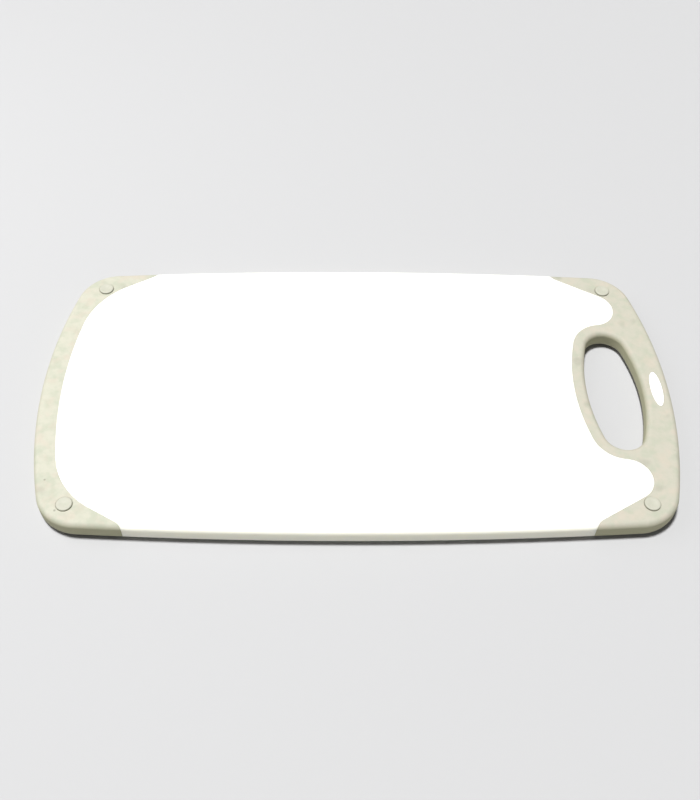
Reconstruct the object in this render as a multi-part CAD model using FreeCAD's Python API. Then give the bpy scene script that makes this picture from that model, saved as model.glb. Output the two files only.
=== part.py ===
import FreeCAD, Part
import math
import os

# Reversible kitchen cutting board with two soft end grips, in millimetres.
# +X runs along the board towards the handle, +Y across it, +Z up.
# The origin is under the middle of the board, on the surface that its feet stand on.

# Board outline
BOARD_LENGTH = 381.0
BOARD_WIDTH = 203.0
BOARD_THICKNESS = 11.1
END_RADIUS = 292.0           # bow of the two short ends
SIDE_RADIUS = 2700.0         # faint bow of the two long edges
CORNER_RADIUS = 26.0
EDGE_RADIUS = 3.2            # rounding of every rim, on both faces

# Hand hole, an oval of four arcs
HANDLE_BAR = 16.4            # bar between the hole and the board's end, on the centre line
HOLE_WIDTH = 34.0
HOLE_INNER_RADIUS = 132.0    # long curve on the side of the cutting area
HOLE_OUTER_RADIUS = 120.0    # long curve on the side of the bar
HOLE_END_RADIUS = 12.3

# Seam between the hard core and the soft grips
END_BAND = 12.5              # width of the plain end grip on the centre line
END_BAND_BEND = 50.0         # radius where that grip widens into its corners
HOLE_RIM = 8.0               # width of soft rim between the hand hole and the core
LOBE_GAP = 23.4              # from the tip of each lobe of the core to the board's end
SEAM_SLOPE = 30.0            # degrees between the seam at the corners and the long edge
SEAM_TURN_X = 23.0           # where that slope ends, inwards from the corner's centre
END_SEAM_TURN_Y = 24.5       # and outwards from it, on the end grip
HANDLE_SEAM_TURN_Y = 23.5    # and on the handle grip
SEAM_EXIT_SLOPE = 60.0       # degrees between the seam and the long edge where it leaves
SEAM_TURN_RADIUS = 7.0

# Tongues of the core, buried in the grips
TONGUE_THICKNESS = 4.5
GRIP_WALL = 4.5              # soft material outside a tongue, along the board
KEY_RADIUS = 1.8             # holes in a tongue that the grip's material fills
KEY_PITCH = 22.0
KEYS_PER_TONGUE = 5

# Feet, one plug through each corner
FOOT_INSET = 11.5            # from the corner's outline to the foot's centre
FOOT_BEARING = 56.0          # degrees from +X, seen from the corner's centre
FOOT_HEAD_RADIUS = 4.5
FOOT_STEM_RADIUS = 2.7
FOOT_HEIGHT = 0.8            # how far a head stands out of the face
FOOT_SEAT = 1.0              # depth of the seat that a head sits in
FOOT_EDGE_RADIUS = 0.6
FOOT_DISH_RADIUS = 2.6
FOOT_DISH_DEPTH = 0.25
FOOT_SLEEVE = 2.0            # soft material between a stem and the tongue
FOOT_FIT = 0.05              # radial clearance round a plug

# Blank oval inlay on the bar
BADGE_LENGTH = 26.6
BADGE_WIDTH = 7.2
BADGE_THICKNESS = 1.5
BADGE_FIT = 0.05             # clearance round the inlay

# Reach of a cutting tool past what it cuts
OVERCUT = 20.0

HALF_LENGTH = BOARD_LENGTH / 2
HALF_WIDTH = BOARD_WIDTH / 2
BOTTOM = FOOT_HEIGHT
TOP = BOTTOM + BOARD_THICKNESS
MIDDLE = BOTTOM + BOARD_THICKNESS / 2
V = FreeCAD.Vector


def unit(vector):
    return V(vector).normalize()


def mirrored(point, x_sign, y_sign):
    return V(x_sign * point.x, y_sign * point.y, point.z)


def touch_centre(first, second, radius):
    """Centre of a circle that touches two larger circles from inside, on their +X +Y side."""
    base, reach = first[0], first[1] - radius
    other, other_reach = second[0], second[1] - radius
    gap = (other - base).Length
    along = unit(other - base)
    across = V(-along.y, along.x, 0)
    run = (reach ** 2 - other_reach ** 2 + gap ** 2) / (2 * gap)
    rise = math.sqrt(reach ** 2 - run ** 2)
    centres = [base + along * run + across * side * rise for side in (1, -1)]
    return max(centres, key=lambda centre: centre.x + centre.y)


def touch_point(first, second):
    """Point where two circles touch, the smaller one inside the larger."""
    larger, smaller = sorted((first, second), key=lambda circle: -circle[1])
    return larger[0] + unit(smaller[0] - larger[0]) * larger[1]


def arc(circle, start, end):
    """The shorter arc of a circle between two of its points."""
    centre, radius = circle
    middle = centre + unit((start - centre) + (end - centre)) * radius
    return Part.Arc(start, middle, end).toShape()


def line(start, end):
    return Part.LineSegment(start, end).toShape()


def oval(circles):
    """Closed wire of arcs through a ring of circles, each touching the next from inside."""
    count = len(circles)
    meets = [touch_point(circles[i], circles[(i + 1) % count]) for i in range(count)]
    return Part.Wire([arc(circles[i], meets[i - 1], meets[i]) for i in range(count)])


def prism(wire, low, high):
    """Upright solid on a flat closed wire, between two heights."""
    base = Part.Face(wire)
    base.translate(V(0, 0, low))
    return base.extrude(V(0, 0, high - low))


END_CIRCLE = (V(HALF_LENGTH - END_RADIUS, 0, 0), END_RADIUS)
SIDE_CIRCLE = (V(0, HALF_WIDTH - SIDE_RADIUS, 0), SIDE_RADIUS)
CORNER_CIRCLE = (touch_centre(SIDE_CIRCLE, END_CIRCLE, CORNER_RADIUS), CORNER_RADIUS)

HOLE_OUTER_X = HALF_LENGTH - HANDLE_BAR
HOLE_INNER_X = HOLE_OUTER_X - HOLE_WIDTH
HOLE_INNER_CIRCLE = (V(HOLE_INNER_X + HOLE_INNER_RADIUS, 0, 0), HOLE_INNER_RADIUS)
HOLE_OUTER_CIRCLE = (V(HOLE_OUTER_X - HOLE_OUTER_RADIUS, 0, 0), HOLE_OUTER_RADIUS)
HOLE_END_CIRCLE = (
    touch_centre(HOLE_INNER_CIRCLE, HOLE_OUTER_CIRCLE, HOLE_END_RADIUS), HOLE_END_RADIUS)


def flipped(circle, x_sign, y_sign):
    return (mirrored(circle[0], x_sign, y_sign), circle[1])


def grown(circles, distance):
    return [(centre, radius + distance) for centre, radius in circles]


def board_outline(inset=0.0):
    """Plan outline of the board, or a parallel line inside it."""
    ring = [
        END_CIRCLE,
        CORNER_CIRCLE,
        SIDE_CIRCLE,
        flipped(CORNER_CIRCLE, -1, 1),
        flipped(END_CIRCLE, -1, 1),
        flipped(CORNER_CIRCLE, -1, -1),
        flipped(SIDE_CIRCLE, 1, -1),
        flipped(CORNER_CIRCLE, 1, -1),
    ]
    return oval(grown(ring, -inset))


def hole_outline(outset=0.0):
    """Plan outline of the hand hole, or a parallel line outside it."""
    ring = [
        HOLE_OUTER_CIRCLE,
        HOLE_END_CIRCLE,
        HOLE_INNER_CIRCLE,
        flipped(HOLE_END_CIRCLE, 1, -1),
    ]
    return oval(grown(ring, outset))


def rounded_board():
    """The whole board as one slab, hand hole cut and every rim rounded."""
    slab = prism(board_outline(), BOTTOM, TOP)
    slab = slab.cut(prism(hole_outline(), BOTTOM - OVERCUT, TOP + OVERCUT))
    rims = [edge for edge in slab.Edges if edge.BoundBox.ZLength < EDGE_RADIUS / 2]
    return slab.makeFillet(EDGE_RADIUS, rims)


def slope_direction(degrees):
    """Direction of a seam on the +X +Y corner, towards the long edge."""
    angle = math.radians(degrees)
    return V(-math.cos(angle), math.sin(angle), 0)


def seam_turn(rise):
    """Point where a seam's two straight slopes meet, near the long edge."""
    return CORNER_CIRCLE[0] + V(-SEAM_TURN_X, rise, 0)


def inward_normal():
    """Direction square to the seam's long slope, towards the middle of the board."""
    slope = slope_direction(SEAM_SLOPE)
    return V(-slope.y, slope.x, 0)


def exit_edges(start, turn):
    """The seam from the start of its long slope to a point outside the long edge."""
    slope = slope_direction(SEAM_SLOPE)
    steep = slope_direction(SEAM_EXIT_SLOPE)
    half_turn = math.radians(SEAM_EXIT_SLOPE - SEAM_SLOPE) / 2
    setback = SEAM_TURN_RADIUS * math.tan(half_turn)
    bend_start = turn - slope * setback
    bend_end = turn + steep * setback
    bend_centre = bend_start - inward_normal() * SEAM_TURN_RADIUS
    outside = turn + steep * ((HALF_WIDTH + OVERCUT - turn.y) / steep.y)
    return [
        line(start, bend_start),
        arc((bend_centre, SEAM_TURN_RADIUS), bend_start, bend_end),
        line(bend_end, outside),
    ], outside


def end_seam():
    """Upper half of the end grip's seam: parallel to the end, then round into its corner."""
    band = (END_CIRCLE[0], END_RADIUS - END_BAND)
    normal = inward_normal()
    slope = slope_direction(SEAM_SLOPE)
    turn = seam_turn(END_SEAM_TURN_Y)
    foot = turn + normal * END_BAND_BEND - band[0]
    reach = band[1] - END_BAND_BEND
    along = foot.dot(slope)
    slide = -along - math.sqrt(along ** 2 - foot.dot(foot) + reach ** 2)
    bend = (band[0] + foot + slope * slide, END_BAND_BEND)
    middle = band[0] + V(band[1], 0, 0)
    bend_start = touch_point(band, bend)
    bend_end = bend[0] - normal * END_BAND_BEND
    edges, outside = exit_edges(bend_end, turn)
    return [arc(band, middle, bend_start), arc(bend, bend_start, bend_end)] + edges, outside


def lobe_circle(rim_end, turn):
    """Circle that touches the rim's end from outside, the long slope, and the lobe's limit."""
    tip = HALF_LENGTH - LOBE_GAP
    angle = math.radians(SEAM_SLOPE)
    height = turn.y - math.tan(angle) * (tip - turn.x) - rim_end[0].y
    shrink = (1 - math.sin(angle)) / math.cos(angle)
    offset = tip - rim_end[0].x
    square = shrink ** 2
    linear = 2 * (shrink * height + offset + rim_end[1])
    constant = offset ** 2 + height ** 2 - rim_end[1] ** 2
    radius = (linear - math.sqrt(linear ** 2 - 4 * square * constant)) / (2 * square)
    centre = V(tip - radius, rim_end[0].y + height - shrink * radius, 0)
    return centre, radius


def handle_seam():
    """Upper half of the handle grip's seam: round the hole's rim, then round the lobe."""
    rim_side, rim_end = grown([HOLE_INNER_CIRCLE, HOLE_END_CIRCLE], HOLE_RIM)
    turn = seam_turn(HANDLE_SEAM_TURN_Y)
    lobe = lobe_circle(rim_end, turn)
    middle = rim_side[0] - V(rim_side[1], 0, 0)
    rim_turn = touch_point(rim_side, rim_end)
    lobe_start = rim_end[0] + unit(lobe[0] - rim_end[0]) * rim_end[1]
    lobe_tip = lobe[0] + V(lobe[1], 0, 0)
    lobe_end = lobe[0] - inward_normal() * lobe[1]
    edges, outside = exit_edges(lobe_end, turn)
    return [
        arc(rim_side, middle, rim_turn),
        arc(rim_end, rim_turn, lobe_start),
        Part.Arc(lobe_start, lobe_tip, lobe_end).toShape(),
    ] + edges, outside


def grip_region(seam, side):
    """Upright block holding all that lies beyond a seam, on the side given by its sign."""
    edges, outside = seam
    far_corner = V(HALF_LENGTH + OVERCUT, outside.y, 0)
    near_corner = mirrored(far_corner, 1, -1)
    mirror_edges = [edge.mirror(V(0, 0, 0), V(0, 1, 0)) for edge in edges]
    frame = [
        line(outside, far_corner),
        line(far_corner, near_corner),
        line(near_corner, mirrored(outside, 1, -1)),
    ]
    wire = Part.Wire(Part.__sortEdges__(edges + mirror_edges + frame))
    block = prism(wire, BOTTOM - OVERCUT, TOP + OVERCUT)
    return block if side > 0 else block.mirror(V(0, 0, 0), V(1, 0, 0))


def foot_centre(x_sign, y_sign):
    angle = math.radians(FOOT_BEARING)
    offset = V(math.cos(angle), math.sin(angle), 0) * (CORNER_RADIUS - FOOT_INSET)
    return mirrored(CORNER_CIRCLE[0] + offset, x_sign, y_sign)


def key_centres(side):
    """Centres of the key holes, along the middle of the tongue next to the board's end."""
    ring = END_RADIUS - (HANDLE_BAR if side > 0 else END_BAND + GRIP_WALL) / 2
    centres = []
    for index in range(KEYS_PER_TONGUE):
        angle = (index - (KEYS_PER_TONGUE - 1) / 2) * KEY_PITCH / ring
        centre = END_CIRCLE[0] + V(math.cos(angle), math.sin(angle), 0) * ring
        centres.append(mirrored(centre, side, 1))
    return centres


def cylinder(centre, radius, low, high):
    return Part.makeCylinder(radius, high - low, V(centre.x, centre.y, low))


def tongue(region, side):
    """Thin part of the core inside a grip, with its key holes and room for the feet."""
    low = MIDDLE - TONGUE_THICKNESS / 2
    high = MIDDLE + TONGUE_THICKNESS / 2
    plate = prism(board_outline(GRIP_WALL), low, high).common(region)
    plate = plate.cut(prism(hole_outline(GRIP_WALL), low, high))
    for centre in key_centres(side):
        plate = plate.cut(cylinder(centre, KEY_RADIUS, low, high))
    for y_sign in (-1, 1):
        centre = foot_centre(side, y_sign)
        plate = plate.cut(cylinder(centre, FOOT_STEM_RADIUS + FOOT_SLEEVE, low, high))
    return plate


def foot_cavity(centre):
    """Bore and two seats for one foot plug, with its clearance."""
    bore = cylinder(centre, FOOT_STEM_RADIUS + FOOT_FIT, BOTTOM - OVERCUT, TOP + OVERCUT)
    seat_radius = FOOT_HEAD_RADIUS + FOOT_FIT
    lower_seat = cylinder(centre, seat_radius, BOTTOM - OVERCUT, BOTTOM + FOOT_SEAT)
    upper_seat = cylinder(centre, seat_radius, TOP - FOOT_SEAT, TOP + OVERCUT)
    return bore.fuse([lower_seat, upper_seat])


def foot_plug(centre):
    """Soft plug through the board: a stem, and a head that stands out of each face."""
    crown = TOP + FOOT_HEIGHT
    shoulder = TOP - FOOT_SEAT
    bend = FOOT_EDGE_RADIUS * (1 - math.sqrt(0.5))
    dish_radius = (FOOT_DISH_RADIUS ** 2 + FOOT_DISH_DEPTH ** 2) / (2 * FOOT_DISH_DEPTH)
    dish_angle = math.asin(FOOT_DISH_RADIUS / dish_radius) / 2
    dish_centre = crown - FOOT_DISH_DEPTH + dish_radius
    dish_middle = V(
        dish_radius * math.sin(dish_angle), 0, dish_centre - dish_radius * math.cos(dish_angle))
    half = [
        line(V(0, 0, MIDDLE), V(0, 0, crown - FOOT_DISH_DEPTH)),
        Part.Arc(V(0, 0, crown - FOOT_DISH_DEPTH), dish_middle,
                 V(FOOT_DISH_RADIUS, 0, crown)).toShape(),
        line(V(FOOT_DISH_RADIUS, 0, crown), V(FOOT_HEAD_RADIUS - FOOT_EDGE_RADIUS, 0, crown)),
        Part.Arc(V(FOOT_HEAD_RADIUS - FOOT_EDGE_RADIUS, 0, crown),
                 V(FOOT_HEAD_RADIUS - bend, 0, crown - bend),
                 V(FOOT_HEAD_RADIUS, 0, crown - FOOT_EDGE_RADIUS)).toShape(),
        line(V(FOOT_HEAD_RADIUS, 0, crown - FOOT_EDGE_RADIUS), V(FOOT_HEAD_RADIUS, 0, shoulder)),
        line(V(FOOT_HEAD_RADIUS, 0, shoulder), V(FOOT_STEM_RADIUS, 0, shoulder)),
        line(V(FOOT_STEM_RADIUS, 0, shoulder), V(FOOT_STEM_RADIUS, 0, MIDDLE)),
        line(V(FOOT_STEM_RADIUS, 0, MIDDLE), V(0, 0, MIDDLE)),
    ]
    upper = Part.Face(Part.Wire(half)).revolve(V(0, 0, 0), V(0, 0, 1), 360)
    lower = upper.mirror(V(0, 0, MIDDLE), V(0, 0, 1))
    plug = upper.fuse(lower).removeSplitter()
    plug.translate(centre)
    return plug


def badge_solid(clearance, high):
    """Oval block on the middle of the bar, from the floor of its pocket up."""
    flat_low = HOLE_OUTER_X + EDGE_RADIUS
    flat_high = HALF_LENGTH - EDGE_RADIUS
    centre = V((flat_low + flat_high) / 2, 0, 0)
    major = BADGE_LENGTH / 2 + clearance
    minor = BADGE_WIDTH / 2 + clearance
    ellipse = Part.Ellipse(centre + V(0, major, 0), centre + V(minor, 0, 0), centre)
    return prism(Part.Wire(ellipse.toShape()), TOP - BADGE_THICKNESS, high)


def grip(board, region, tongue_plate, side):
    """Soft end of the board, wrapped round a tongue of the core."""
    body = board.common(region).cut(tongue_plate)
    for y_sign in (-1, 1):
        body = body.cut(foot_cavity(foot_centre(side, y_sign)))
    return body


def build():
    """Every piece of the board by its name."""
    board = rounded_board()
    end_region = grip_region(end_seam(), -1)
    handle_region = grip_region(handle_seam(), 1)
    end_tongue = tongue(end_region, -1)
    handle_tongue = tongue(handle_region, 1)
    core = board.cut([end_region, handle_region]).fuse([end_tongue, handle_tongue])
    handle_body = grip(board, handle_region, handle_tongue, 1)
    pieces = {
        "board_core": core.removeSplitter(),
        "end_grip": grip(board, end_region, end_tongue, -1),
        "handle_grip": handle_body.cut(badge_solid(BADGE_FIT, TOP + OVERCUT)),
        "handle_badge": badge_solid(0.0, TOP),
    }
    for x_name, x_sign in (("end", -1), ("handle", 1)):
        for y_name, y_sign in (("near", -1), ("far", 1)):
            name = "foot_plug_" + x_name + "_" + y_name
            pieces[name] = foot_plug(foot_centre(x_sign, y_sign))
    return pieces


os.makedirs("parts", exist_ok=True)
for piece_name, piece in build().items():
    piece.exportStep("parts/" + piece_name + ".step")
    print(piece_name, "solids", len(piece.Solids), "valid", piece.isValid(), "mm3", round(piece.Volume))
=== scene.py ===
import math

import bpy
import numpy as np
from bpy.props import FloatProperty, FloatVectorProperty, IntProperty, PointerProperty
from mathutils import Matrix, Vector


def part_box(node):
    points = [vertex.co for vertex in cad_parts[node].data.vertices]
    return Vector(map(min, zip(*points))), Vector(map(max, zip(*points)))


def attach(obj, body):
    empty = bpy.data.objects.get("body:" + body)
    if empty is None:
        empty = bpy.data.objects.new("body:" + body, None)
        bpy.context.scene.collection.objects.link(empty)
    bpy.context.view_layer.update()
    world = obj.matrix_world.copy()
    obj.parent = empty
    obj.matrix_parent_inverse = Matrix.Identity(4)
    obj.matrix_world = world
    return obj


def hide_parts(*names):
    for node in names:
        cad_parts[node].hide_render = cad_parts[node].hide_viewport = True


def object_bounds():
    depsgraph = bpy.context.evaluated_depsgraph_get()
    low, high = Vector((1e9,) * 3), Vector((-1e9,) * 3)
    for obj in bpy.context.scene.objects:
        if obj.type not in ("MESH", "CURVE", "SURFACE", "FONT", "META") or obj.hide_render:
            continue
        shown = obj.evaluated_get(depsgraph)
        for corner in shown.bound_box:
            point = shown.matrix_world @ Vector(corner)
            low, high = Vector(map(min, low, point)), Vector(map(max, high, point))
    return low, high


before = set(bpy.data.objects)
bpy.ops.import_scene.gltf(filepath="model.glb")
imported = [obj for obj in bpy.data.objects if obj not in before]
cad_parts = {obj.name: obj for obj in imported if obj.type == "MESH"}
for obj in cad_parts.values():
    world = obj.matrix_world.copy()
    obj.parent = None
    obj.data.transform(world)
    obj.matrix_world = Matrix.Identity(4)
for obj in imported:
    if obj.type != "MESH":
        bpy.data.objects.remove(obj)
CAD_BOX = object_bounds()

# A reversible cutting board: a hard white core between two soft grips.
# Metres, +X towards the handle, +Y across the board, +Z up, origin on the table under its middle.

bl_info = {
    "name": "Cutting board",
    "version": (1, 0, 0),
    "blender": (4, 5, 0),
    "location": "3D View > Sidebar > Cutting board",
    "description": "Makes a reversible cutting board with soft grips, piece by piece",
    "category": "Add Mesh",
}

MM = 0.001
CORE_LOW, CORE_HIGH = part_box("board_core")
BADGE_LOW, BADGE_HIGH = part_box("handle_badge")
FOOT_NODES = [
    "foot_plug_end_near",
    "foot_plug_end_far",
    "foot_plug_handle_near",
    "foot_plug_handle_far",
]
FOOT_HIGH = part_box(FOOT_NODES[0])[1]
TURN = 2 * math.pi
OVERCUT = 20 * MM                   # reach of a cutting shape past what it cuts
MIDDLE_SHARE = 0.04                 # share of a face's radius that is left to one flat face
FLAT_SHARES = (0.01, 0.5, 0.99)     # rows of points across a flat, from the hole's rim outwards
SHARP_ANGLE = math.radians(28)      # two faces that meet at more than this show an edge
SENSOR_WIDTH = 36.0                 # of the camera, in millimetres
FLOOR_STEPS = 128                   # facets round the floor
COVE_STEPS = 16                     # facets up the curve between floor and wall
PANEL_WIDTH = 500 * MM              # of the side light
PANEL_HEIGHT = 600 * MM
PANEL_PLACE = (-550 * MM, 150 * MM, 550 * MM)   # where its middle is


def length_value(label, words, default):
    return FloatProperty(
        name=label, description=words, default=default, min=0.0, unit="LENGTH", precision=5)


def angle_value(label, words, degrees):
    return FloatProperty(
        name=label, description=words, default=math.radians(degrees), unit="ROTATION")


def count_value(label, words, default, least):
    return IntProperty(name=label, description=words, default=default, min=least)


def colour_value(label, words, default):
    return FloatVectorProperty(
        name=label, description=words, default=default, subtype="COLOR", size=3, min=0.0, max=1.0)


class BoardSizes(bpy.types.PropertyGroup):
    """Outline and rims of the whole board."""

    half_length: length_value("Half length", "From the middle to either end", CAD_BOX[1].x)
    half_width: length_value("Half width", "From the middle to either long edge", CAD_BOX[1].y)
    bottom: length_value("Bottom", "Height of the lower face over the table", CORE_LOW.z)
    top: length_value("Top", "Height of the upper face over the table", CORE_HIGH.z)
    end_radius: length_value("End bow", "Radius of the two short ends", 292 * MM)
    side_radius: length_value("Side bow", "Radius of the two long edges", 2700 * MM)
    corner_radius: length_value("Corner radius", "Radius of the four corners", 26 * MM)
    rim_radius: length_value("Rim radius", "Rounding of every rim, on both faces", 3.2 * MM)
    rim_steps: count_value("Rim steps", "Facets across one rounding", 10, 2)
    outline_steps: count_value("Outline steps", "Directions that an outline is worked out for", 720, 48)


class HoleSizes(bpy.types.PropertyGroup):
    """The hand hole, an oval of four arcs."""

    handle_bar: length_value("Handle bar", "Bar between the hole and the board's end", 16.4 * MM)
    width: length_value("Width", "Width of the hole along the board", 34 * MM)
    inner_radius: length_value("Inner curve", "Radius on the side of the cutting area", 132 * MM)
    outer_radius: length_value("Outer curve", "Radius on the side of the bar", 120 * MM)
    end_radius: length_value("End radius", "Radius of the two ends", 12.3 * MM)


class SeamSizes(bpy.types.PropertyGroup):
    """The lines where the hard core meets the soft grips."""

    end_band: length_value("End band", "Width of the plain grip on the centre line", 12.5 * MM)
    band_bend: length_value("Band bend", "Radius where that grip widens into its corners", 50 * MM)
    hole_rim: length_value("Hole rim", "Width of soft rim round the hand hole", 8.0 * MM)
    lobe_gap: length_value("Lobe gap", "From the tip of each lobe to the board's end", 23.4 * MM)
    slope: angle_value("Slope", "Angle between the seam and the long edge", 30)
    exit_slope: angle_value("Exit slope", "The same angle where the seam leaves the board", 60)
    turn_radius: length_value("Turn radius", "Radius between the two slopes", 7 * MM)
    turn_inwards: length_value("Turn inwards", "From the corner's centre along the board", 23 * MM)
    end_turn_rise: length_value("End turn", "From the corner's centre across the board", 24.5 * MM)
    handle_turn_rise: length_value("Handle turn", "The same on the handle grip", 23.5 * MM)
    step: length_value("Step", "Spacing of points along a seam", 0.4 * MM)
    gap: length_value("Gap", "Hairline between the core and a grip", 0.05 * MM)


class TongueSizes(bpy.types.PropertyGroup):
    """The thin parts of the core that are buried in the grips."""

    thickness: length_value("Thickness", "Thickness of a tongue", 4.5 * MM)
    wall: length_value("Wall", "Soft material outside a tongue, along the board", 4.5 * MM)
    key_radius: length_value("Key radius", "Radius of the holes that the grip's material fills", 1.8 * MM)
    key_pitch: length_value("Key pitch", "Distance between those holes", 22 * MM)
    keys: count_value("Keys", "Number of holes in each tongue", 5, 1)
    key_steps: count_value("Key steps", "Facets round a hole in a tongue", 48, 12)
    foot_sleeve: length_value("Foot sleeve", "Soft material between a foot and the tongue", 2 * MM)


class FootSizes(bpy.types.PropertyGroup):
    """The four plugs that stand out of both faces."""

    head_radius: length_value("Head radius", "Radius of a head", 4.5 * MM)
    stem_radius: length_value("Stem radius", "Radius of the stem through the board", 2.7 * MM)
    seat: length_value("Seat", "Depth of the seat that a head sits in", 1.0 * MM)
    edge_radius: length_value("Edge radius", "Rounding of a head's edge", 0.6 * MM)
    dish_radius: length_value("Dish radius", "Radius of the shallow dish in a head", 2.6 * MM)
    dish_depth: length_value("Dish depth", "Depth of that dish", 0.25 * MM)
    fit: length_value("Fit", "Clearance round a plug", 0.05 * MM)
    mouth: length_value("Mouth", "Chamfer round the mouth of a seat", 0.4 * MM)
    steps: count_value("Steps", "Facets round a foot", 96, 12)
    edge_steps: count_value("Edge steps", "Facets across the rounding of a head's edge", 8, 2)
    dish_rows: count_value("Dish rows", "Rings of points across a dish", 8, 2)


class BadgeSizes(bpy.types.PropertyGroup):
    """The blank inlay on the handle's bar."""

    edge_radius: length_value("Edge radius", "Rounding of its edge", 0.35 * MM)
    dome: length_value("Dome", "How far its middle stands over its rim", 0.2 * MM)
    fit: length_value("Fit", "Clearance round the inlay", 0.05 * MM)
    mouth: length_value("Mouth", "Chamfer round the mouth of its pocket", 0.12 * MM)
    steps: count_value("Steps", "Facets round the inlay", 160, 24)
    edge_steps: count_value("Edge steps", "Facets across the rounding of its edge", 6, 2)
    dome_rows: count_value("Dome rows", "Rings of points across its face", 12, 3)


class Finishes(bpy.types.PropertyGroup):
    """Colours of the pieces."""

    core: colour_value("Core", "Hard white plastic", (0.93, 0.915, 0.80))
    core_worn: colour_value("Core, worn", "The same plastic where it is scored", (0.82, 0.79, 0.72))
    grip: colour_value("Grip", "Soft pale plastic", (0.430, 0.422, 0.346))
    # painted shade: the grip's colour at the handle's end, darker where the light falls off
    grip_held: colour_value("Grip, painted falloff", "The same at the handle's end", (0.396, 0.380, 0.314))
    grip_dark: colour_value("Grip, handled", "The same where hands greyed it", (0.315, 0.345, 0.262))
    grip_warm: colour_value("Grip, warm", "The same where it has reddened", (0.440, 0.385, 0.318))
    # painted shade tint: the grip yellower on its side walls, standing in for the colour of their shade
    grip_side: colour_value("Grip, painted side tint", "The same round the board's sides", (0.432, 0.424, 0.278))
    speck: colour_value("Specks", "Small dark marks in the soft plastic", (0.20, 0.20, 0.16))
    foot: colour_value("Feet", "Soft plastic of the feet", (0.385, 0.380, 0.312))
    badge: colour_value("Inlay", "Glossy white plastic", (0.93, 0.93, 0.91))
    floor: colour_value("Floor", "Plain pale floor", (0.415, 0.415, 0.418))


class StageSettings(bpy.types.PropertyGroup):
    """The camera, the light and the floor."""

    lens: FloatProperty(
        name="Lens", description="Focal length on a 36 mm sensor", default=44.55, unit="CAMERA")
    distance: length_value("Distance", "From the camera to the point it looks at", 607.9 * MM)
    pitch: angle_value("Pitch", "Angle that the camera looks down at", 51.46)
    heading: angle_value("Heading", "Turn of the camera about the upright axis", -1.975)
    roll: angle_value("Roll", "Turn of the camera about its own line of sight", 1.654)
    aim: FloatVectorProperty(
        name="Aim", description="The point that the camera looks at",
        default=(-4.452 * MM, -0.602 * MM, 0.8 * MM), subtype="XYZ", unit="LENGTH", size=3)
    key_power: FloatProperty(
        name="Key light", description="Strength of the soft overhead light", default=5.2)
    key_softness: angle_value("Softness", "Width of the overhead light in the sky", 10)
    key_lean_back: angle_value("Lean back", "How far that light stands behind the board", 6)
    key_lean_left: angle_value("Lean left", "How far it stands to the board's left", 8)
    sky_power: FloatProperty(
        name="Sky", description="Strength of the even light all round", default=0.13)
    side_power: FloatProperty(
        name="Side light", description="Power of the panel on the left", default=1.5, unit="POWER")
    floor_radius: length_value("Floor radius", "Where the floor starts to curve up", 5.0)
    cove_radius: length_value("Cove radius", "Radius of the curve between floor and wall", 1.0)
    wall_height: length_value("Wall height", "Height of the wall round the floor", 3.0)


class CuttingBoard(bpy.types.PropertyGroup):
    """Everything that can be set on the board and its stage."""

    board: PointerProperty(type=BoardSizes)
    hole: PointerProperty(type=HoleSizes)
    seam: PointerProperty(type=SeamSizes)
    tongue: PointerProperty(type=TongueSizes)
    foot: PointerProperty(type=FootSizes)
    badge: PointerProperty(type=BadgeSizes)
    finish: PointerProperty(type=Finishes)
    stage: PointerProperty(type=StageSettings)


# Plan geometry: a circle is (centre, radius), a line is an array of points, both in the XY plane.

def towards(angle):
    """Unit vectors at these angles from +X."""
    return np.stack([np.cos(angle), np.sin(angle)], axis=-1)


def bearing(vector):
    """Angle of a vector from +X."""
    return math.atan2(vector[1], vector[0])


def flipped(circle, x_sign, y_sign):
    """A circle with its centre's coordinates multiplied by these signs."""
    return circle[0] * (x_sign, y_sign), circle[1]


def touch_centre(first, second, radius):
    """Centre of a circle that touches two larger ones from inside, on their +X +Y side: the
    far meeting point of the two larger circles shrunk by its radius."""
    reach = first[1] - radius
    other_reach = second[1] - radius
    gap = np.linalg.norm(second[0] - first[0])
    along = (second[0] - first[0]) / gap
    across = np.array([-along[1], along[0]])
    run = (reach ** 2 - other_reach ** 2 + gap ** 2) / (2 * gap)
    rise = math.sqrt(reach ** 2 - run ** 2)
    centres = [first[0] + along * run + across * side * rise for side in (1, -1)]
    return max(centres, key=sum)


def ring(circles, steps, grow=0.0):
    """A convex outline of touching arcs, one point for each of evenly spread outward directions:
    the centre of the arc that faces that way, plus its radius and the growth in that direction.
    Two arcs meet where the line through their centres points."""
    centres = np.array([centre for centre, radius in circles])
    radii = np.array([radius for centre, radius in circles])
    links = (np.roll(centres, -1, axis=0) - centres) * np.sign(radii - np.roll(radii, -1))[:, None]
    ends = np.arctan2(links[:, 1], links[:, 0]) % TURN
    facing = np.arange(steps) * TURN / steps
    chosen = np.searchsorted(ends, facing) % len(circles)
    return centres[chosen] + towards(facing) * (radii[chosen] + grow)[:, None]


def sweep(circle, start, stop, step):
    """Points round a circle from one angle to another, about a step apart."""
    count = max(2, math.ceil(abs(stop - start) * circle[1] / step) + 1)
    return circle[0] + towards(np.linspace(start, stop, count)) * circle[1]


def board_circles(sizes):
    """The eight arcs of the board, from the handle's end anticlockwise."""
    end = (np.array([sizes.half_length - sizes.end_radius, 0.0]), sizes.end_radius)
    side = (np.array([0.0, sizes.half_width - sizes.side_radius]), sizes.side_radius)
    corner = (touch_centre(side, end, sizes.corner_radius), sizes.corner_radius)
    return [
        end,
        corner,
        side,
        flipped(corner, -1, 1),
        flipped(end, -1, 1),
        flipped(corner, -1, -1),
        flipped(side, 1, -1),
        flipped(corner, 1, -1),
    ]


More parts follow.
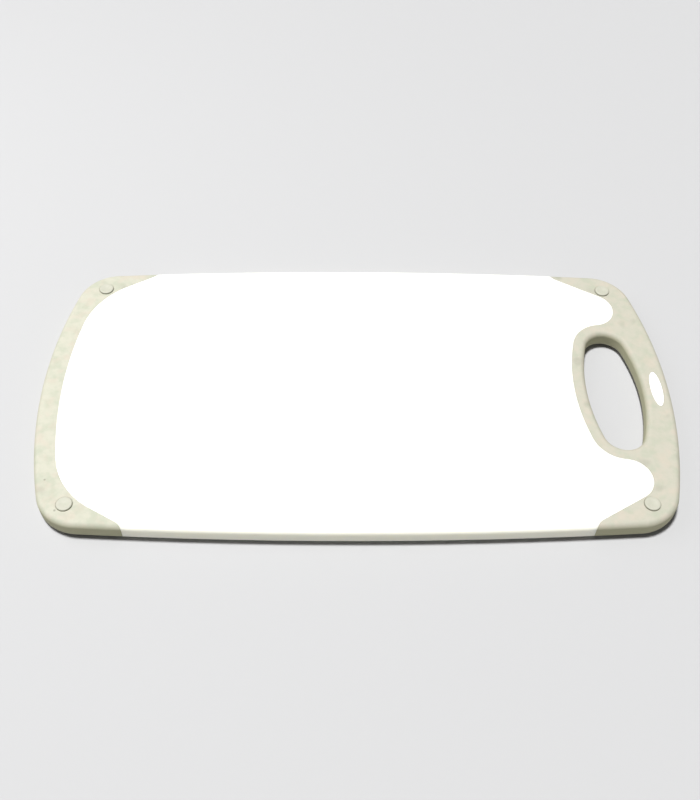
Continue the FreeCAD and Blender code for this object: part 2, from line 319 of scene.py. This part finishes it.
def hole_circles(sizes):
    """The four arcs of the hand hole, from the bar's side anticlockwise."""
    outer_x = sizes.board.half_length - sizes.hole.handle_bar
    inner_x = outer_x - sizes.hole.width
    outer = (np.array([outer_x - sizes.hole.outer_radius, 0.0]), sizes.hole.outer_radius)
    inner = (np.array([inner_x + sizes.hole.inner_radius, 0.0]), sizes.hole.inner_radius)
    end = (touch_centre(inner, outer, sizes.hole.end_radius), sizes.hole.end_radius)
    return [outer, end, inner, flipped(end, 1, -1)]


def exit_path(sizes, start, turn):
    """A seam from the start of its long slope to a point outside the long edge: a straight
    slope, an arc into the steeper slope, and on in a straight line."""
    seam = sizes.seam
    slope = towards(math.pi - seam.slope)
    steep = towards(math.pi - seam.exit_slope)
    setback = seam.turn_radius * math.tan((seam.exit_slope - seam.slope) / 2)
    bend_start = turn - slope * setback
    outward = towards(math.pi / 2 - seam.slope)
    bend = (bend_start + outward * seam.turn_radius, seam.turn_radius)
    outside = turn + steep * ((sizes.board.half_width + OVERCUT - turn[1]) / steep[1])
    return np.vstack([
        start,
        sweep(bend, -math.pi / 2 - seam.slope, -math.pi / 2 - seam.exit_slope, seam.step),
        outside,
    ])


def end_seam(sizes):
    """Upper half of the plain grip's seam, drawn on the handle's side: it runs parallel to the
    end, then bends onto the long slope. The bend's centre is a bend radius from both."""
    seam = sizes.seam
    circles = board_circles(sizes.board)
    band = (circles[0][0], circles[0][1] - seam.end_band)
    slope = towards(math.pi - seam.slope)
    outward = towards(math.pi / 2 - seam.slope)
    turn = circles[1][0] + (-seam.turn_inwards, seam.end_turn_rise)
    foot = turn - outward * seam.band_bend - band[0]
    reach = band[1] - seam.band_bend
    along = foot @ slope
    slide = -along - math.sqrt(along ** 2 - foot @ foot + reach ** 2)
    bend = (band[0] + foot + slope * slide, seam.band_bend)
    meet = bearing(bend[0] - band[0])
    return np.vstack([
        sweep(band, 0.0, meet, seam.step),
        sweep(bend, meet, math.pi / 2 - seam.slope, seam.step),
        exit_path(sizes, bend[0] + outward * bend[1], turn),
    ])


def handle_seam(sizes):
    """Upper half of the handle grip's seam: it follows the hole at the rim's width, then turns
    back round a lobe that touches that rim, the lobe's limit and the long slope."""
    seam = sizes.seam
    corner = board_circles(sizes.board)[1]
    end, inner = hole_circles(sizes)[1:3]
    rim_side = (inner[0], inner[1] + seam.hole_rim)
    rim_end = (end[0], end[1] + seam.hole_rim)
    turn = corner[0] + (-seam.turn_inwards, seam.handle_turn_rise)
    tip = sizes.board.half_length - seam.lobe_gap
    height = turn[1] - math.tan(seam.slope) * (tip - turn[0]) - rim_end[0][1]
    shrink = (1 - math.sin(seam.slope)) / math.cos(seam.slope)
    offset = tip - rim_end[0][0]
    linear = 2 * (shrink * height + offset + rim_end[1])
    constant = offset ** 2 + height ** 2 - rim_end[1] ** 2
    radius = (linear - math.sqrt(linear ** 2 - 4 * shrink ** 2 * constant)) / (2 * shrink ** 2)
    lobe = (np.array([tip - radius, rim_end[0][1] + height - shrink * radius]), radius)
    outward = towards(math.pi / 2 - seam.slope)
    turn_in = bearing(rim_end[0] - rim_side[0])
    turn_out = bearing(lobe[0] - rim_end[0])
    return np.vstack([
        sweep(rim_side, math.pi, turn_in, seam.step),
        sweep(rim_end, turn_in, turn_out, seam.step),
        sweep(lobe, turn_out - math.pi, math.pi / 2 - seam.slope, seam.step),
        exit_path(sizes, lobe[0] + outward * lobe[1], turn),
    ])


def thinned(points, least):
    """The points of a line without those that nearly repeat the one before."""
    steps = np.linalg.norm(np.diff(points, axis=0), axis=1)
    return points[np.concatenate([[True], steps > least])]


def grip_outline(sizes, seam_line, side, shift):
    """Closed outline of all that lies beyond a seam, with the seam moved outwards by a shift."""
    nearly_repeated = sizes.seam.step / 10
    half = thinned(seam_line, nearly_repeated)
    course = np.gradient(half, axis=0)
    course /= np.linalg.norm(course, axis=1)[:, None]
    half = half + np.stack([course[:, 1], -course[:, 0]], axis=1) * shift
    far = sizes.board.half_length + OVERCUT
    corners = [(far, half[-1, 1]), (far, -half[-1, 1])]
    lower = half[:0:-1] * (1, -1)
    return np.vstack([half, corners, lower]) * (side, 1)


# Surfaces: a grid of points, one row for each closed loop round the shape.

def lifted(loops, heights):
    """Loops of plan points, one height for each loop, as a grid of points in space."""
    loops = np.asarray(loops)
    levels = np.broadcast_to(np.asarray(heights)[:, None, None], loops.shape[:2] + (1,))
    return np.concatenate([loops, levels], axis=2)


def grid_faces(rows, columns, endless=False):
    """A face for each four neighbours in a grid of points. Every row joins its own start, and in
    an endless grid the last row joins the first."""
    row = np.arange(rows if endless else rows - 1)[:, None]
    column = np.arange(columns)[None, :]
    after = (column + 1) % columns
    start = row * columns
    below = (row + 1) % rows * columns
    corners = [start + column, start + after, below + after, below + column]
    return np.stack(np.broadcast_arrays(*corners), axis=-1).reshape(-1, 4).tolist()


def surface(name, grid, endless=False):
    """A closed mesh on a grid of points. In an endless grid the last row joins the first, and
    in any other a flat face closes each of the two."""
    rows, columns = grid.shape[:2]
    faces = grid_faces(rows, columns, endless)
    if not endless:
        faces.append(list(range(columns))[::-1])
        faces.append(list(range((rows - 1) * columns, rows * columns)))
    mesh = bpy.data.meshes.new(name)
    mesh.from_pydata(grid.reshape(-1, 3), [], faces)
    if signed_volume(mesh) < 0:
        mesh.flip_normals()
    made = bpy.data.objects.new(name, mesh)
    bpy.context.scene.collection.objects.link(made)
    return made


def signed_volume(mesh):
    """Sum over all triangles of the tetrahedra that they make with the origin, which is below
    zero where the faces point inwards."""
    mesh.calc_loop_triangles()
    points = np.empty(len(mesh.vertices) * 3)
    mesh.vertices.foreach_get("co", points)
    corners = np.empty(len(mesh.loop_triangles) * 3, dtype=np.int32)
    mesh.loop_triangles.foreach_get("vertices", corners)
    first, second, third = points.reshape(-1, 3)[corners.reshape(-1, 3)].transpose(1, 0, 2)
    return float(np.einsum("ij,ij->", first, np.cross(second, third))) / 6


def quarter(radius, steps):
    """A quarter round, from the wall up: distances in from the wall, and down from the top."""
    angle = np.linspace(0.0, math.pi / 2, steps + 1)
    return radius * (1 - np.cos(angle)), radius * (1 - np.sin(angle))


def board_slab(sizes):
    """The whole board as a ring about its hand hole. A section runs up the hole's wall, over
    its rim, across the top to the outer rim, down the outside and back below. Across the flats
    a row is a blend of the hole's outline and the board's, each taken in the same direction."""
    board = sizes.board
    inset, drop = quarter(board.rim_radius, board.rim_steps)
    hole = ring(hole_circles(sizes), board.outline_steps)
    outline = ring(board_circles(board), board.outline_steps)
    facing = towards(np.arange(board.outline_steps) * TURN / board.outline_steps)
    rows = len(FLAT_SHARES)
    share = np.concatenate([np.zeros(inset.size), FLAT_SHARES, np.ones(inset.size)])
    depth = np.concatenate([inset, np.full(rows, board.rim_radius), inset[::-1]])
    fall = np.concatenate([drop, np.zeros(rows), drop[::-1]])
    heights = np.concatenate([board.top - fall, board.bottom + fall[::-1]])
    share = np.concatenate([share, share[::-1]])[:, None, None]
    depth = np.concatenate([depth, depth[::-1]])[:, None, None]
    loops = (hole + facing * depth) * (1 - share) + (outline - facing * depth) * share
    return surface("slab", lifted(loops, heights), endless=True)


def tongue_plate(sizes):
    """Flat plate inside the board, a wall's width from its outline and from the hole."""
    steps = sizes.board.outline_steps
    wall = sizes.tongue.wall
    middle = (sizes.board.top + sizes.board.bottom) / 2
    low, high = middle - sizes.tongue.thickness / 2, middle + sizes.tongue.thickness / 2
    inner = ring(hole_circles(sizes), steps, wall)
    outer = ring(board_circles(sizes.board), steps, -wall)
    return surface("plate", lifted([inner, inner, outer, outer], [low, high, high, low]), endless=True)


def prism(name, outline, low, high):
    """An outline carried straight up from one height to another."""
    return surface(name, lifted([outline, outline], [low, high]))


def turned(name, centre, radii, heights, steps):
    """A profile of radii and heights carried round an upright axis."""
    round_once = towards(np.arange(steps) * TURN / steps)
    loops = centre + np.asarray(radii)[:, None, None] * round_once
    return surface(name, lifted(loops, heights))


def foot_cutter(sizes, centre):
    """Bore and two seats for one foot, with its clearance and a chamfer round each mouth."""
    foot, board = sizes.foot, sizes.board
    bore = foot.stem_radius + foot.fit
    seat = foot.head_radius + foot.fit
    flare = seat + 2 * foot.mouth
    heights = [
        board.bottom - OVERCUT,
        board.bottom - foot.mouth,
        board.bottom + foot.mouth,
        board.bottom + foot.seat,
        board.bottom + foot.seat,
        board.top - foot.seat,
        board.top - foot.seat,
        board.top - foot.mouth,
        board.top + foot.mouth,
        board.top + OVERCUT,
    ]
    radii = [flare, flare, seat, seat, bore, bore, seat, seat, flare, flare]
    return turned("foot_room", centre, radii, heights, foot.steps)


def badge_loop(sizes, grow):
    """The inlay's oval, grown all round."""
    half = (BADGE_HIGH - BADGE_LOW) / 2
    centre = (BADGE_HIGH + BADGE_LOW) / 2
    round_once = towards(np.arange(sizes.badge.steps) * TURN / sizes.badge.steps)
    return np.array(centre.xy) + round_once * (half.x + grow, half.y + grow)


def badge_cutter(sizes):
    """Pocket for the inlay, with its clearance and a chamfer round its mouth."""
    badge, top = sizes.badge, sizes.board.top
    grow = [badge.fit, badge.fit, badge.fit + 2 * badge.mouth, badge.fit + 2 * badge.mouth]
    heights = [BADGE_LOW.z, top - badge.mouth, top + badge.mouth, top + OVERCUT]
    return surface("badge_room", lifted([badge_loop(sizes, extra) for extra in grow], heights))


def foot_surface(sizes, centre):
    """One plug: a profile turned about its axis. From the middle of the upper face it follows
    the dish, the flat crown, the rounded edge, the side, the seat and the stem, and the lower
    half is the same the other way up."""
    foot, board = sizes.foot, sizes.board
    crown = FOOT_HIGH.z
    middle = (board.top + board.bottom) / 2
    dish = np.linspace(MIDDLE_SHARE, 1.0, foot.dish_rows)
    edge_inset, edge_drop = quarter(foot.edge_radius, foot.edge_steps)
    radii = np.concatenate([
        foot.dish_radius * dish,
        foot.head_radius - edge_inset[::-1],
        [foot.head_radius, foot.stem_radius],
    ])
    heights = np.concatenate([
        crown - foot.dish_depth * (1 - dish ** 2),
        crown - edge_drop[::-1],
        [board.top - foot.seat, board.top - foot.seat],
    ])
    radii = np.concatenate([radii, radii[::-1]])
    heights = np.concatenate([heights, 2 * middle - heights[::-1]])
    return turned("plug", centre, radii, heights, foot.steps)


def badge_surface(sizes):
    """The inlay: its oval carried up the side and over a rounded edge, then shrunk to the
    middle while the height rises as the square of the way in."""
    badge = sizes.badge
    centre = np.array(((BADGE_HIGH + BADGE_LOW) / 2).xy)
    inset, drop = quarter(badge.edge_radius, badge.edge_steps)
    rim = [badge_loop(sizes, -depth) for depth in inset]
    share = np.linspace(1.0, MIDDLE_SHARE, badge.dome_rows)[1:]
    crown = [centre + (rim[-1] - centre) * part for part in share]
    loops = [badge_loop(sizes, 0.0), *rim, *crown]
    heights = np.concatenate([
        [BADGE_LOW.z],
        sizes.board.top - drop,
        sizes.board.top + badge.dome * (1 - share ** 2),
    ])
    return surface("inlay", lifted(loops, heights))


def combined(target, operation, *tools):
    """Cuts, joins or meets a closed shape with others, and keeps only the result."""
    for tool in tools:
        modifier = target.modifiers.new(operation, "BOOLEAN")
        modifier.operation = operation
        modifier.solver = "MANIFOLD"
        modifier.object = tool
    graph = bpy.context.evaluated_depsgraph_get()
    result = bpy.data.meshes.new_from_object(target.evaluated_get(graph))
    target.modifiers.clear()
    spent = target.data
    target.data = result
    bpy.data.meshes.remove(spent)
    for tool in tools:
        shape = tool.data
        bpy.data.objects.remove(tool)
        bpy.data.meshes.remove(shape)
    if not len(result.polygons):
        raise RuntimeError("the shape " + target.name + " came out empty")
    return target


def foot_places(side=0):
    """Plan centres of the feet on one side of the board, or of all four."""
    boxes = [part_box(node) for node in FOOT_NODES]
    centres = [np.array(((low + high) / 2).xy) for low, high in boxes]
    return [centre for centre in centres if side == 0 or centre[0] * side > 0]


def key_places(sizes, side):
    """Plan centres of the key holes, along the middle of a tongue beside the board's end."""
    tongue = sizes.tongue
    band = sizes.hole.handle_bar if side > 0 else sizes.seam.end_band + tongue.wall
    end = board_circles(sizes.board)[0]
    reach = end[1] - band / 2
    angles = (np.arange(tongue.keys) - (tongue.keys - 1) / 2) * tongue.key_pitch / reach
    return (end[0] + towards(angles) * reach) * (side, 1)


def grip_room(sizes, side, shift):
    """All the space beyond one seam, less the tongue: the plate with its key holes and with
    room round the feet."""
    low, high = sizes.board.bottom - OVERCUT, sizes.board.top + OVERCUT
    seam_line = handle_seam(sizes) if side > 0 else end_seam(sizes)
    plate = tongue_plate(sizes)
    sleeve = sizes.foot.stem_radius + sizes.tongue.foot_sleeve
    holes = [(centre, sizes.tongue.key_radius) for centre in key_places(sizes, side)]
    holes += [(centre, sleeve) for centre in foot_places(side)]
    steps = sizes.tongue.key_steps
    pins = [turned("pin", centre, [radius] * 2, [low, high], steps) for centre, radius in holes]
    combined(plate, "DIFFERENCE", *pins)
    room = prism("room", grip_outline(sizes, seam_line, side, shift), low, high)
    return combined(room, "DIFFERENCE", plate)


def finished(made, name, node, material):
    """Gives a piece its name, smooth faces with sharp edges, its finish, and its place under the root
    body."""
    mesh = made.data
    made.name = mesh.name = name
    mesh.shade_smooth()
    mesh.set_sharp_from_angle(angle=SHARP_ANGLE)
    weighted = made.modifiers.new("even_shading", "WEIGHTED_NORMAL")
    weighted.keep_sharp = True
    mesh.materials.clear()
    mesh.materials.append(material)
    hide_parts(node)
    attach(made, "root")
    return made


# Materials

class Term:
    """One value or colour in a material. Sums and products of terms add Math nodes."""

    def __init__(self, recipe, socket):
        self.recipe = recipe
        self.socket = socket

    def maths(self, operation, first, second, clamp=False):
        """Adds a Math node on two terms or numbers."""
        settings = {"operation": operation, "use_clamp": clamp}
        return self.recipe.node("ShaderNodeMath", settings, {0: first, 1: second})

    def __add__(self, other):
        return self.maths("ADD", self, other)

    def __sub__(self, other):
        return self.maths("SUBTRACT", self, other)

    def __rsub__(self, other):
        return self.maths("SUBTRACT", other, self)

    def __mul__(self, other):
        return self.maths("MULTIPLY", self, other)

    __radd__ = __add__
    __rmul__ = __mul__

    def near(self, value, width):
        """1 where the term has this value, falling to 0 at a width either side of it."""
        apart = self.maths("ABSOLUTE", self - value, 0.0)
        return (1 - apart * (1 / width)).clamped()

    def clamped(self):
        """The term kept between 0 and 1."""
        return self.maths("ADD", self, 0.0, clamp=True)

    def between(self, low, high):
        """0 up to the low value, 1 from the high one, and smooth between them."""
        inputs = {"Value": self, "From Min": low, "From Max": high}
        return self.recipe.node("ShaderNodeMapRange", {"interpolation_type": "SMOOTHSTEP"}, inputs)


class Recipe:
    """A material under construction."""

    def __init__(self, name):
        self.material = bpy.data.materials.new(name)
        self.material.use_nodes = True
        self.tree = self.material.node_tree
        self.tree.nodes.clear()
        self.place = self.node("ShaderNodeTexCoord", {}, {}, "Object")

    def node(self, kind, settings, inputs, output=0):
        """Adds a node, with its settings first and then its sockets' values or links."""
        made = self.tree.nodes.new(kind)
        for key, value in settings.items():
            setattr(made, key, value)
        for key, value in inputs.items():
            if isinstance(value, Term):
                self.tree.links.new(value.socket, made.inputs[key])
            else:
                made.inputs[key].default_value = value
        return Term(self, made.outputs[output])

    def noise(self, size, detail=2.0, roughness=0.5, stretch=(1.0, 1.0, 1.0), turn=0.0, offset=0.0):
        """Soft random pattern with features of this size in metres, longer where stretched."""
        mapping = {
            "Vector": self.place,
            "Location": (offset, offset, offset),
            "Rotation": (0.0, 0.0, turn),
            "Scale": tuple(1 / (size * part) for part in stretch),
        }
        where = self.node("ShaderNodeMapping", {"vector_type": "POINT"}, mapping)
        inputs = {"Vector": where, "Scale": 1.0, "Detail": detail, "Roughness": roughness}
        return self.node("ShaderNodeTexNoise", {}, inputs)

    def cells(self, size):
        """Distance, in cells, to the nearest of points scattered this far apart."""
        inputs = {"Vector": self.place, "Scale": 1 / size}
        return self.node("ShaderNodeTexVoronoi", {}, inputs)

    def mix(self, share, first, second):
        """From the first colour to the second as the share goes from 0 to 1."""
        inputs = {0: share, 6: as_colour(first), 7: as_colour(second)}
        return self.node("ShaderNodeMix", {"data_type": "RGBA"}, inputs, output=2)

    def bump(self, height, distance, strength=1.0, below=None):
        """Tilts the surface as if the height stood this far out, on top of another bump."""
        inputs = {"Height": height, "Distance": distance, "Strength": strength}
        if below is not None:
            inputs["Normal"] = below
        return self.node("ShaderNodeBump", {}, inputs)

    def finish(self, **inputs):
        """Ends the material in one Principled shader with these sockets."""
        sockets = {key.replace("_", " "): value for key, value in inputs.items()}
        shader = self.node("ShaderNodeBsdfPrincipled", {}, sockets)
        end = self.tree.nodes.new("ShaderNodeOutputMaterial")
        self.tree.links.new(shader.socket, end.inputs["Surface"])
        return self.material


def as_colour(colour):
    """A term as it is, or a plain colour with full alpha."""
    return colour if isinstance(colour, Term) else (*colour, 1.0)


def cut_marks(recipe):
    """Long thin knife marks: where a stretched random pattern crosses its middle value, in four
    directions, each kept only in scattered patches."""
    marks = None
    for index, degrees in enumerate((8, 47, 96, 141)):
        turn = math.radians(degrees)
        offset = 3.7 * (index + 1)
        streak = recipe.noise(3.5 * MM, detail=0.0, stretch=(26.0, 1.0, 1.0), turn=turn, offset=offset)
        patch = recipe.noise(50 * MM, detail=1.0, turn=turn, offset=offset + 11.3)
        mark = streak.near(0.5, 0.012) * patch.between(0.5, 0.62)
        marks = mark if marks is None else marks + mark
    return marks.clamped()


def core_finish(finish):
    """Hard white plastic: a fine moulded grain, faint knife marks and a slightly uneven polish."""
    recipe = Recipe("hard_core")
    marks = cut_marks(recipe)
    cloud = recipe.noise(45 * MM, detail=3.0)
    grain = recipe.noise(0.7 * MM, detail=1.0)
    worn = marks * 0.35 + cloud.between(0.5, 0.8) * 0.12
    colour = recipe.mix(worn, finish.core, finish.core_worn)
    grained = recipe.bump(grain, 0.02 * MM)
    scored = recipe.bump(1 - marks, 0.06 * MM, strength=0.6, below=grained)
    roughness = 0.36 + cloud * 0.1 + marks * 0.15
    return recipe.finish(
        Base_Color=colour, Roughness=roughness, Normal=scored, Subsurface_Weight=0.55,
        Subsurface_Radius=(1.0, 0.96, 0.88), Subsurface_Scale=6 * MM)


def grip_finish(finish):
    """Soft pale plastic with painted shade: darker towards the handle, standing in for the light falling
    off, and yellower round the sides as a painted shade tint; mottled at the size of a fingertip, greyed
    and reddened in clouds, with a few smudges and dark specks, and a fine eroded grain."""
    recipe = Recipe("soft_grip")
    mottle = recipe.noise(3.2 * MM, detail=3.0, roughness=0.65)
    cloud = recipe.noise(7 * MM, roughness=0.55, offset=4.1)
    warmth = recipe.noise(8 * MM, offset=9.6)
    smudge = recipe.noise(16 * MM, detail=1.0, offset=15.2)
    specks = 1 - recipe.cells(9 * MM).between(0.05, 0.1)
    kept = recipe.noise(30 * MM, detail=0.0, offset=2.3)
    grain = recipe.noise(0.6 * MM, roughness=0.6)
    along = recipe.node("ShaderNodeSeparateXYZ", {}, {"Vector": recipe.place}, "X")
    height = recipe.node("ShaderNodeSeparateXYZ", {}, {"Vector": recipe.place}, "Z")
    # mask of the side walls, between the flats above and below: a painted shade tint
    side = height.between(0.9 * MM, 4.5 * MM) * (1 - height.between(8.2 * MM, 11.8 * MM))
    # painted shade: darker along +X towards the handle, standing in for the light's falloff
    colour = recipe.mix(along.between(-160 * MM, 160 * MM), finish.grip, finish.grip_held)
    colour = recipe.mix(cloud.between(0.42, 0.7) * 0.5, colour, finish.grip_dark)
    colour = recipe.mix(warmth.between(0.45, 0.7) * 0.55, colour, finish.grip_warm)
    colour = recipe.mix(mottle.between(0.4, 0.7) * 0.22, colour, finish.grip_dark)
    colour = recipe.mix(smudge.between(0.62, 0.74) * 0.28, colour, finish.speck)
    colour = recipe.mix(specks * kept.between(0.52, 0.57) * 0.7, colour, finish.speck)
    colour = recipe.mix(side * 0.95, colour, finish.grip_side)
    grained = recipe.bump(grain, 0.05 * MM)
    waved = recipe.bump(mottle, 0.12 * MM, strength=0.5, below=grained)
    roughness = 0.56 + mottle * 0.16 + cloud * 0.08
    return recipe.finish(Base_Color=colour, Roughness=roughness, Normal=waved, Specular_IOR_Level=0.3)


def foot_finish(finish):
    """The feet's soft plastic: smoother than the grips, a little dusty."""
    recipe = Recipe("soft_foot")
    dust = recipe.noise(2.2 * MM, detail=3.0, roughness=0.6, offset=6.4)
    grain = recipe.noise(0.4 * MM, detail=1.0)
    colour = recipe.mix(dust.between(0.4, 0.75) * 0.3, finish.foot, finish.grip_dark)
    return recipe.finish(
        Base_Color=colour, Roughness=0.5 + dust * 0.2, Normal=recipe.bump(grain, 0.03 * MM))


def badge_finish(finish):
    """Glossy white plastic with hair-fine rub marks."""
    recipe = Recipe("glossy_inlay")
    rub = recipe.noise(1.2 * MM, stretch=(1.0, 14.0, 1.0), offset=1.9)
    haze = recipe.noise(6 * MM, offset=8.8)
    colour = recipe.mix(haze.between(0.5, 0.8) * 0.2, finish.badge, finish.core_worn)
    return recipe.finish(
        Base_Color=colour, Roughness=0.12 + rub * 0.14, Normal=recipe.bump(rub, 0.012 * MM),
        Coat_Weight=0.5, Coat_Roughness=0.06)


# Stage

def stage_camera(scene, stage):
    """A camera that looks down at its aim from its distance, turned by its heading and roll."""
    camera = bpy.data.cameras.new("camera")
    camera.lens = stage.lens
    camera.sensor_width = SENSOR_WIDTH
    camera.clip_start = 10 * MM
    made = bpy.data.objects.new("camera", camera)
    scene.collection.objects.link(made)
    heading = Matrix.Rotation(stage.heading, 4, "Z")
    tilt = Matrix.Rotation(math.pi / 2 - stage.pitch, 4, "X")
    rotation = heading @ tilt @ Matrix.Rotation(stage.roll, 4, "Z")
    ahead = rotation @ Vector((0.0, 0.0, -1.0))
    made.matrix_world = Matrix.Translation(Vector(stage.aim) - ahead * stage.distance) @ rotation
    scene.camera = made


def stage_lights(scene, stage):
    """A wide soft light overhead, a panel on the left, and even light all round."""
    key = bpy.data.lights.new("overhead", "SUN")
    key.energy = stage.key_power
    key.angle = stage.key_softness
    made = bpy.data.objects.new("overhead", key)
    made.rotation_euler = (-stage.key_lean_back, -stage.key_lean_left, 0.0)
    scene.collection.objects.link(made)
    panel = bpy.data.lights.new("left_panel", "AREA")
    panel.energy = stage.side_power
    panel.shape = "RECTANGLE"
    panel.size = PANEL_WIDTH
    panel.size_y = PANEL_HEIGHT
    made = bpy.data.objects.new("left_panel", panel)
    place = Vector(PANEL_PLACE)
    facing = place.to_track_quat("Z", "Y").to_matrix().to_4x4()
    made.matrix_world = Matrix.Translation(place) @ facing
    scene.collection.objects.link(made)
    world = bpy.data.worlds.new("studio")
    world.use_nodes = True
    background = world.node_tree.nodes["Background"]
    background.inputs["Color"].default_value = (1.0, 1.0, 1.0, 1.0)
    background.inputs["Strength"].default_value = stage.sky_power
    scene.world = world


def stage_floor(stage, finish):
    """A round floor whose edge curves up into a wall, as a profile turned about the Z axis from
    a small face in the middle. Its faces look inwards."""
    angle = np.linspace(0.0, math.pi / 2, COVE_STEPS + 1)
    radii = np.concatenate([
        [MM],
        stage.floor_radius + stage.cove_radius * np.sin(angle),
        [stage.floor_radius + stage.cove_radius],
    ])
    heights = np.concatenate([
        [0.0],
        stage.cove_radius * (1 - np.cos(angle)),
        [stage.wall_height],
    ])
    round_once = towards(np.arange(FLOOR_STEPS) * TURN / FLOOR_STEPS)
    grid = lifted(radii[:, None, None] * round_once, heights)
    faces = [face[::-1] for face in grid_faces(*grid.shape[:2])]
    faces.append(list(range(FLOOR_STEPS)))
    mesh = bpy.data.meshes.new("floor")
    mesh.from_pydata(grid.reshape(-1, 3), [], faces)
    mesh.shade_smooth()
    recipe = Recipe("floor_paint")
    mesh.materials.append(recipe.finish(
        Base_Color=as_colour(finish.floor), Roughness=0.95, Specular_IOR_Level=0.0))
    made = bpy.data.objects.new("floor", mesh)
    bpy.context.scene.collection.objects.link(made)


# Operators

class BOARD_OT_core(bpy.types.Operator):
    """Make the hard white core with its two tongues"""

    bl_idname = "cutting_board.core"
    bl_label = "Core"

    def execute(self, context):
        sizes = context.scene.cutting_board
        rooms = [grip_room(sizes, side, 0.0) for side in (-1, 1)]
        made = combined(board_slab(sizes), "DIFFERENCE", *rooms)
        finished(made, "core_slab", "board_core", core_finish(sizes.finish))
        return {"FINISHED"}


class BOARD_OT_grips(bpy.types.Operator):
    """Make the two soft grips round the core's tongues"""

    bl_idname = "cutting_board.grips"
    bl_label = "Grips"

    def execute(self, context):
        sizes = context.scene.cutting_board
        material = grip_finish(sizes.finish)
        for side, name, node in ((-1, "plain_grip", "end_grip"), (1, "hand_grip", "handle_grip")):
            made = combined(board_slab(sizes), "INTERSECT", grip_room(sizes, side, sizes.seam.gap))
            cutters = [foot_cutter(sizes, centre) for centre in foot_places(side)]
            if side > 0:
                cutters.append(badge_cutter(sizes))
            combined(made, "DIFFERENCE", *cutters)
            finished(made, name, node, material)
        return {"FINISHED"}


class BOARD_OT_feet(bpy.types.Operator):
    """Make the four foot plugs"""

    bl_idname = "cutting_board.feet"
    bl_label = "Feet"

    def execute(self, context):
        sizes = context.scene.cutting_board
        material = foot_finish(sizes.finish)
        for node, centre in zip(FOOT_NODES, foot_places()):
            made = foot_surface(sizes, centre)
            finished(made, node.replace("plug", "pad"), node, material)
        return {"FINISHED"}


class BOARD_OT_badge(bpy.types.Operator):
    """Make the blank inlay on the handle"""

    bl_idname = "cutting_board.badge"
    bl_label = "Inlay"

    def execute(self, context):
        sizes = context.scene.cutting_board
        made = badge_surface(sizes)
        finished(made, "blank_inlay", "handle_badge", badge_finish(sizes.finish))
        return {"FINISHED"}


class BOARD_OT_stage(bpy.types.Operator):
    """Make the camera, the soft light and the pale floor"""

    bl_idname = "cutting_board.stage"
    bl_label = "Stage"

    def execute(self, context):
        sizes = context.scene.cutting_board
        stage_camera(context.scene, sizes.stage)
        stage_lights(context.scene, sizes.stage)
        stage_floor(sizes.stage, sizes.finish)
        context.scene.view_settings.view_transform = "Standard"
        return {"FINISHED"}


class BOARD_PT_pieces(bpy.types.Panel):
    """Lists the pieces of the board and the values that they are made from"""

    bl_label = "Cutting board"
    bl_idname = "BOARD_PT_pieces"
    bl_space_type = "VIEW_3D"
    bl_region_type = "UI"
    bl_category = "Cutting board"

    def draw(self, context):
        settings = context.scene.cutting_board
        for operator in OPERATORS:
            self.layout.operator(operator.bl_idname)
        for group in settings.bl_rna.properties:
            values = getattr(settings, group.identifier, None)
            if isinstance(values, bpy.types.PropertyGroup):
                box = self.layout.box()
                box.label(text=group.identifier.capitalize())
                for value in values.__annotations__:
                    box.prop(values, value)


GROUPS = (
    BoardSizes, HoleSizes, SeamSizes, TongueSizes, FootSizes, BadgeSizes, Finishes, StageSettings,
    CuttingBoard)
OPERATORS = (BOARD_OT_stage, BOARD_OT_core, BOARD_OT_grips, BOARD_OT_feet, BOARD_OT_badge)


def register():
    for item in (*GROUPS, *OPERATORS, BOARD_PT_pieces):
        bpy.utils.register_class(item)
    bpy.types.Scene.cutting_board = PointerProperty(type=CuttingBoard)


def unregister():
    del bpy.types.Scene.cutting_board
    for item in (BOARD_PT_pieces, *reversed(OPERATORS), *reversed(GROUPS)):
        bpy.utils.unregister_class(item)


def main():
    """Makes every piece in turn."""
    register()
    bpy.ops.cutting_board.stage()
    bpy.ops.cutting_board.core()
    bpy.ops.cutting_board.grips()
    bpy.ops.cutting_board.feet()
    bpy.ops.cutting_board.badge()


if __name__ == "__main__":
    main()
